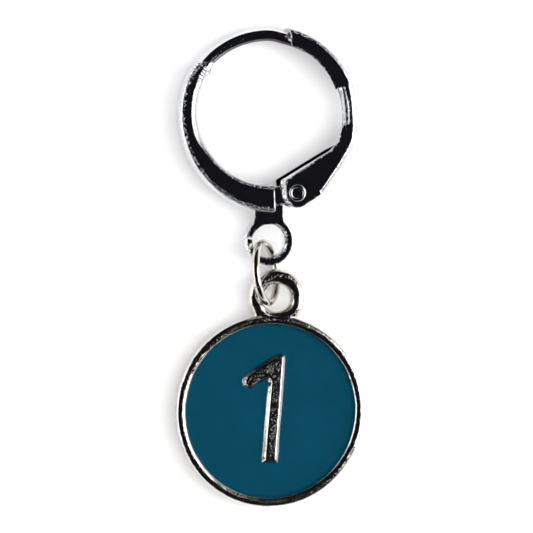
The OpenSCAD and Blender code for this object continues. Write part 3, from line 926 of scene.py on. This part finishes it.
def to_range(nodes, links, value, lo, hi, out_lo, out_hi):
    """Stretches what lies between lo and hi to the range from out_lo to out_hi."""
    node = nodes.new("ShaderNodeMapRange")
    for key, number in (("From Min", lo), ("From Max", hi), ("To Min", out_lo), ("To Max", out_hi)):
        node.inputs[key].default_value = number
    links.new(value, node.inputs["Value"])
    return node.outputs["Result"]


def two_colours(nodes, links, value, dark, light):
    """Fades from a dark tone to a light one as the value grows."""
    ramp = nodes.new("ShaderNodeValToRGB")
    ramp.color_ramp.elements[0].color = (*dark, 1)
    ramp.color_ramp.elements[0].position = 0.3
    ramp.color_ramp.elements[1].color = (*light, 1)
    ramp.color_ramp.elements[1].position = 0.7
    links.new(value, ramp.inputs["Fac"])
    return ramp.outputs["Color"]


def bump(nodes, links, height, depth_mm, under=None):
    """Makes the surface look uneven to a depth in millimetres, without moving it."""
    node = nodes.new("ShaderNodeBump")
    node.inputs["Strength"].default_value = 1.0
    node.inputs["Distance"].default_value = depth_mm * MM
    links.new(height, node.inputs["Height"])
    if under is not None:
        links.new(under, node.inputs["Normal"])
    return node.outputs["Normal"]


def sum_up(nodes, links, kind, a, b):
    """One sum, such as ADD or MAXIMUM, of two values or sockets."""
    node = nodes.new("ShaderNodeMath")
    node.operation = kind
    for socket, value in zip(node.inputs, (a, b)):
        if isinstance(value, float):
            socket.default_value = value
        else:
            links.new(value, socket)
    return node.outputs[0]


# %% [markdown]
# ## The metals
#
# Bright plating on stamped sheet is a mirror with a little orange peel and fine pits, and the pits crowd
# along the bends, where the sheet was stretched. Cast nickel is softer, slightly warm, and pitted all over.
# Drawn wire is warmer still, and nearly free of pits. Solder freezes with the strongest orange peel, and
# spring strip is left as it was rolled. One recipe makes all five, because they differ only in tone and in
# how rough they are.

# %% Metals
def on_mesh(nodes, name):
    """Reads a number that was stored on the points of the mesh, which is 0 where none was stored."""
    node = nodes.new("ShaderNodeAttribute")
    node.attribute_name = name
    return node.outputs["Fac"]


def metal(name, dark, light, rough, peel_mm, pit_mm, pits_per_mm, even_pits):
    """Polished metal: slight change of tone, orange peel, and pits that crowd along the folds.
    even_pits is how strong the pits are away from the folds."""
    material, nodes, links, shader = node_set(name)
    where = millimetres(nodes, links)
    tone = noise_at(nodes, links, where, 0.8)
    peel = noise_at(nodes, links, where, 2.2, 2.0)
    pits = noise_at(nodes, links, where, pits_per_mm, 2.0, 0.6)
    shader.inputs["Metallic"].default_value = 1.0
    links.new(two_colours(nodes, links, tone, dark, light), shader.inputs["Base Color"])
    links.new(to_range(nodes, links, pits, 0.35, 0.75, *rough), shader.inputs["Roughness"])
    soft = bump(nodes, links, peel, peel_mm)
    deep = to_range(nodes, links, pits, 0.54, 0.68, 0.0, 1.0)
    crowd = to_range(nodes, links, on_mesh(nodes, "bent"), 0.03, 0.35, even_pits, 1.0)
    pitting = sum_up(nodes, links, "MULTIPLY", deep, crowd)
    links.new(bump(nodes, links, pitting, pit_mm, under=soft), shader.inputs["Normal"])
    return material, nodes, links, shader


def sheet_finish():
    """Plating on folded sheet. The inside of a deep channel is coloured dark as painted shade, and the ear
    wire's side that faces the hoop's centre is coloured dark too.
    """
    material, nodes, links, shader = metal(
        "bright plating", (0.70, 0.70, 0.72), (0.78, 0.78, 0.79), (0.05, 0.12),
        peel_mm=0.003, pit_mm=0.020, pits_per_mm=9.0, even_pits=0.09)
    bright = shader.inputs["Base Color"].links[0].from_socket
    # Painted shade inside the channels, and the ear wire's dark side: the marked points take this dark
    # colour.
    shade_and_dark_side_mix = nodes.new("ShaderNodeMix")
    shade_and_dark_side_mix.data_type = "RGBA"
    links.new(on_mesh(nodes, "inside"), shade_and_dark_side_mix.inputs["Factor"])
    links.new(bright, shade_and_dark_side_mix.inputs["A"])
    shade_and_dark_side_mix.inputs["B"].default_value = (0.10, 0.09, 0.08, 1)
    links.new(shade_and_dark_side_mix.outputs["Result"], shader.inputs["Base Color"])
    return material


PLATING = sheet_finish()
CAST = metal("cast nickel", (0.66, 0.64, 0.60), (0.75, 0.73, 0.69), (0.08, 0.18),
             peel_mm=0.004, pit_mm=0.010, pits_per_mm=9.0, even_pits=0.45)[0]
WIRE = metal("drawn wire", (0.58, 0.55, 0.48), (0.72, 0.69, 0.63), (0.08, 0.15),
             peel_mm=0.004, pit_mm=0.003, pits_per_mm=12.0, even_pits=0.6)[0]
SOLDER = metal("plated solder", (0.72, 0.72, 0.72), (0.80, 0.80, 0.79), (0.10, 0.24),
               peel_mm=0.015, pit_mm=0.012, pits_per_mm=5.0, even_pits=1.0)[0]
SPRING = metal("spring strip", (0.62, 0.58, 0.52), (0.72, 0.68, 0.62), (0.10, 0.20),
               peel_mm=0.002, pit_mm=0.004, pits_per_mm=12.0, even_pits=1.0)[0]
print("metals:", [m.name for m in (PLATING, CAST, WIRE, SOLDER, SPRING)])

# %% [markdown]
# ## The enamel's colour
#
# Soft enamel is a resin that was filled in wet: a deep colour under a clear gloss. One glossy colour would
# look like plastic sheet. A clear coat over a slightly cloudy, slightly wavy colour has the depth, and a
# little dust dulls it in places.

# %% Enamel finish
def enamel_finish():
    """Teal resin under a clear coat."""
    material, nodes, links, shader = node_set("teal enamel")
    where = millimetres(nodes, links)
    cloud = noise_at(nodes, links, where, 0.35)
    peel = noise_at(nodes, links, where, 0.5, 2.0)
    dust = noise_at(nodes, links, where, 5.0, 2.0)
    links.new(two_colours(nodes, links, cloud, (0.0, 0.049, 0.087), (0.0, 0.056, 0.099)),
              shader.inputs["Base Color"])
    links.new(to_range(nodes, links, dust, 0.3, 0.8, 0.10, 0.2), shader.inputs["Roughness"])
    links.new(bump(nodes, links, peel, 0.01), shader.inputs["Normal"])
    shader.inputs["Coat Weight"].default_value = 0.6
    shader.inputs["Coat Roughness"].default_value = 0.04
    return material


ENAMEL = enamel_finish()
print("enamel finish:", ENAMEL.name)

# %% [markdown]
# ## Who moves with whom
#
# Every piece rides on a body of the frame and stands in for its CAD node, which stays behind as the thing
# that collides. The leaf spring keeps its CAD shape, because a plain bent strip is all it is.

# %% Bodies, nodes and slots
DRESS = [
    (arm, "hoop", "hoop_arm", "plated_arm", PLATING),
    (ear_wire, "hoop", "ear_wire", "plated_wire", PLATING),
    (solder, "hoop", "solder_joint", "solder", SOLDER),
    (hanger, "hoop", "hanger_strip", "plated_strip", PLATING),
    (rivet, "hoop", "hinge_rivet", "plated_rivet", PLATING),
    (lever, "lever", "lever", "plated_lever", PLATING),
    (jump_ring, "jump_ring", "jump_ring", "nickel_wire", WIRE),
    (charm, "charm", "charm", "cast_nickel", CAST),
    (enamel, "charm", "enamel", "enamel", ENAMEL),
]
for piece, body, node, slot, finish in DRESS:
    piece.data.materials.clear()
    piece.data.materials.append(finish)
    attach(piece, body)
    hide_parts(node)
spring = frame["nodes"]["lever_spring"]
spring.data.materials.clear()
spring.data.materials.append(SPRING)
print("dressed", len(DRESS), "pieces")

# %% [markdown]
# ## The table
#
# The marker lies on white. The table's own colour is nearly white, so that it shows white in full light and
# still takes the soft shadow that draws the edge of the bright folds. A glowing floor would be white as
# well, but it would wash that shadow out, so only a very small glow is added, and only where it is looked
# at or mirrored.

# %% Table
TABLE_HALF = 0.6
TABLE_GLOW = 0.06


def table():
    """A white sheet under the marker."""
    bm = bmesh.new()
    bmesh.ops.create_grid(bm, x_segments=1, y_segments=1, size=TABLE_HALF)
    obj = new_object("table", bm)
    material, nodes, links, shader = node_set("white table")
    where = millimetres(nodes, links)
    grain = noise_at(nodes, links, where, 0.3)
    white = two_colours(nodes, links, grain, (0.95, 0.95, 0.95), (0.97, 0.97, 0.97))
    links.new(white, shader.inputs["Base Color"])
    shader.inputs["Roughness"].default_value = 0.9
    shader.inputs["Specular IOR Level"].default_value = 0.0
    glow = nodes.new("ShaderNodeEmission")
    glow.inputs["Color"].default_value = (1, 1, 1, 1)
    path = nodes.new("ShaderNodeLightPath")
    seen = sum_up(nodes, links, "MAXIMUM", path.outputs["Is Camera Ray"], path.outputs["Is Glossy Ray"])
    seen = sum_up(nodes, links, "MAXIMUM", seen, path.outputs["Is Transmission Ray"])
    links.new(sum_up(nodes, links, "MULTIPLY", seen, TABLE_GLOW), glow.inputs["Strength"])
    both = nodes.new("ShaderNodeAddShader")
    links.new(shader.outputs[0], both.inputs[0])
    links.new(glow.outputs[0], both.inputs[1])
    links.new(both.outputs[0], nodes["Material Output"].inputs["Surface"])
    obj.data.materials.append(material)
    return obj


table()
print("table:", 2 * TABLE_HALF, "m across")

# %% [markdown]
# ## The lights
#
# Bright plating shows little of its own colour, and mostly what stands round it. One large soft light on
# the right and a low one on the left give the white lines along the folds. The light that makes the shadow
# hangs overhead. Metal would mirror it as a white flat face, where the photo has black, so it is hidden
# from mirrors. One big dome would be simpler, but would leave no black in the metal at all.

# %% Lights
MARKER_Y = -9


def soft_light(name, place_mm, size_mm, watts, mirrored=True):
    """A rectangle of light aimed at the marker. One that is not mirrored shows in no metal."""
    data = bpy.data.lights.new(name, "AREA")
    data.shape = "RECTANGLE"
    data.size, data.size_y = (s * MM for s in size_mm)
    data.energy = watts
    obj = bpy.data.objects.new(name, data)
    bpy.context.scene.collection.objects.link(obj)
    place = Vector(place_mm) * MM
    aim = Vector((0, MARKER_Y, 0)) * MM
    obj.location = place
    obj.rotation_euler = (place - aim).to_track_quat("Z", "Y").to_euler()
    obj.visible_camera = False
    obj.visible_glossy = mirrored
    return obj


soft_light("softbox_right", (330, MARKER_Y, 250), (270, 330), 0.9)
soft_light("softbox_left", (-420, MARKER_Y, 70), (420, 190), 0.35)
soft_light("overhead", (0, MARKER_Y, 600), (800, 800), 5.0, mirrored=False)

# %% [markdown]
# ## The world
#
# The rest of the room is dark overhead and white low down on the left and right, as cards beside the marker
# would make it. How high the white reaches is a formula of the direction's X, so it is high at both sides
# and falls away fast towards the front and back. A picture of a studio would do this too, but a formula can
# be set by the edges that the plating shows.

# %% World
GLOW_FLAT, GLOW_LEAN, GLOW_SOFT = 0.86, 0.23, 0.06
DARK_ROOM = (0.008, 0.008, 0.010, 1)
world = bpy.data.worlds.new("room")
bpy.context.scene.world = world
world.use_nodes = True
tree = world.node_tree.nodes, world.node_tree.links
nodes, links = tree
place = nodes.new("ShaderNodeTexCoord")
parts = nodes.new("ShaderNodeSeparateXYZ")
links.new(place.outputs["Generated"], parts.inputs["Vector"])
x = parts.outputs["X"]
x_squared = sum_up(*tree, "MULTIPLY", x, x)
lean = sum_up(*tree, "ADD", sum_up(*tree, "MULTIPLY", x, GLOW_LEAN), GLOW_FLAT)
glow_top = sum_up(*tree, "MULTIPLY", sum_up(*tree, "MULTIPLY", x_squared, x_squared), lean)
ramp = nodes.new("ShaderNodeValToRGB")
ramp.color_ramp.elements[0].position = 0.0
ramp.color_ramp.elements[0].color = (1, 1, 1, 1)
ramp.color_ramp.elements[1].position = GLOW_SOFT
ramp.color_ramp.elements[1].color = DARK_ROOM
links.new(sum_up(*tree, "SUBTRACT", parts.outputs["Z"], glow_top), ramp.inputs["Fac"])
links.new(ramp.outputs["Color"], nodes["Background"].inputs["Color"])
bpy.context.scene.view_settings.view_transform = "Standard"
print("world:", world.name, "with", len(nodes), "nodes")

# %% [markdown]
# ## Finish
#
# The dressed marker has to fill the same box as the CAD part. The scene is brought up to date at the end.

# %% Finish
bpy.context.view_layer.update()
